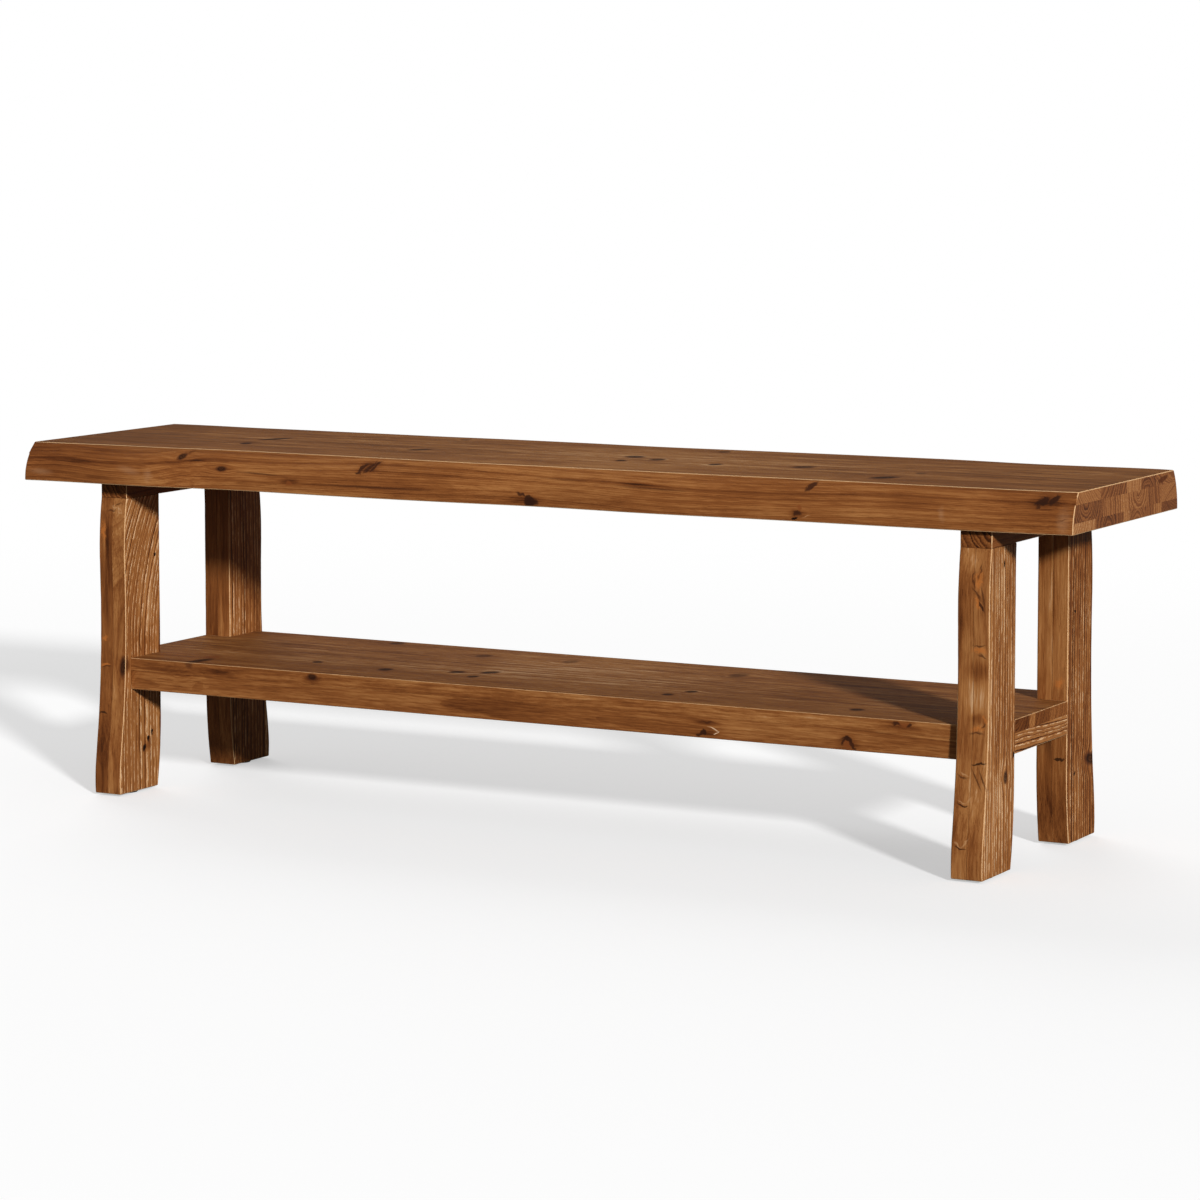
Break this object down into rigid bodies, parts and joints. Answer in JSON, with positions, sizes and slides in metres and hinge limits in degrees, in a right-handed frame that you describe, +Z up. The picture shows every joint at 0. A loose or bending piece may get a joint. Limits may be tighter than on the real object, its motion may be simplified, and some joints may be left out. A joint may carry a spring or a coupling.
{
  "type": "shoe bench",
  "caption": "Rustic wooden shoe bench with a thick laminated live-edge seat on shaped board legs, cross rails and a low open shelf for shoes.",
  "frame": {"origin": "on the floor, under the middle of the seat", "axes": "+X along the seat's length, to the right as seen from the front; -Y is the front; +Z is up"},
  "size_m": [1.45, 0.3704, 0.457],
  "materials": {
    "seat_wood": "satin stained softwood",
    "shelf_wood": "satin stained softwood",
    "leg_wood": "satin, wire-brushed stained softwood",
    "rail_wood": "satin stained softwood",
    "dowel_wood": "raw beech",
    "glide_plastic": "matte",
    "zinc_steel": "zinc plated",
    "insert_metal": "zinc plated"
  },
  "bodies": {
    "root": {"back_left_glide": "glide_plastic", "back_left_leg_inner_board": "leg_wood", "back_left_leg_outer_board": "leg_wood", "back_right_glide": "glide_plastic", "back_right_leg_inner_board": "leg_wood", "back_right_leg_outer_board": "leg_wood", "front_left_glide": "glide_plastic", "front_left_leg_inner_board": "leg_wood", "front_left_leg_outer_board": "leg_wood", "front_right_glide": "glide_plastic", "front_right_leg_inner_board": "leg_wood", "front_right_leg_outer_board": "leg_wood", "glide_nails": "zinc_steel", "left_lower_rail": "rail_wood", "left_upper_rail": "rail_wood", "leg_top_dowels": "dowel_wood", "lower_rail_dowels": "dowel_wood", "right_lower_rail": "rail_wood", "right_upper_rail": "rail_wood", "seat_bolt_washers": "zinc_steel", "seat_bolts": "zinc_steel", "seat_core_stave_1": "seat_wood", "seat_core_stave_2": "seat_wood", "seat_core_stave_3": "seat_wood", "seat_core_stave_4": "seat_wood", "seat_core_stave_5": "seat_wood", "seat_core_stave_6": "seat_wood", "seat_inserts": "insert_metal", "seat_lower_stave_1": "seat_wood", "seat_lower_stave_2": "seat_wood", "seat_lower_stave_3": "seat_wood", "seat_lower_stave_4": "seat_wood", "seat_lower_stave_5": "seat_wood", "seat_lower_stave_6": "seat_wood", "seat_lower_stave_7": "seat_wood", "seat_upper_stave_1": "seat_wood", "seat_upper_stave_2": "seat_wood", "seat_upper_stave_3": "seat_wood", "seat_upper_stave_4": "seat_wood", "seat_upper_stave_5": "seat_wood", "shelf_back_strip": "shelf_wood", "shelf_bolt_washers": "zinc_steel", "shelf_bolts": "zinc_steel", "shelf_front_strip": "shelf_wood", "shelf_inserts": "insert_metal", "shelf_stave_1": "shelf_wood", "shelf_stave_2": "shelf_wood", "shelf_stave_3": "shelf_wood", "shelf_stave_4": "shelf_wood", "shelf_stave_5": "shelf_wood", "shelf_stave_6": "shelf_wood", "shelf_stave_7": "shelf_wood"}
  },
  "joints": []
}
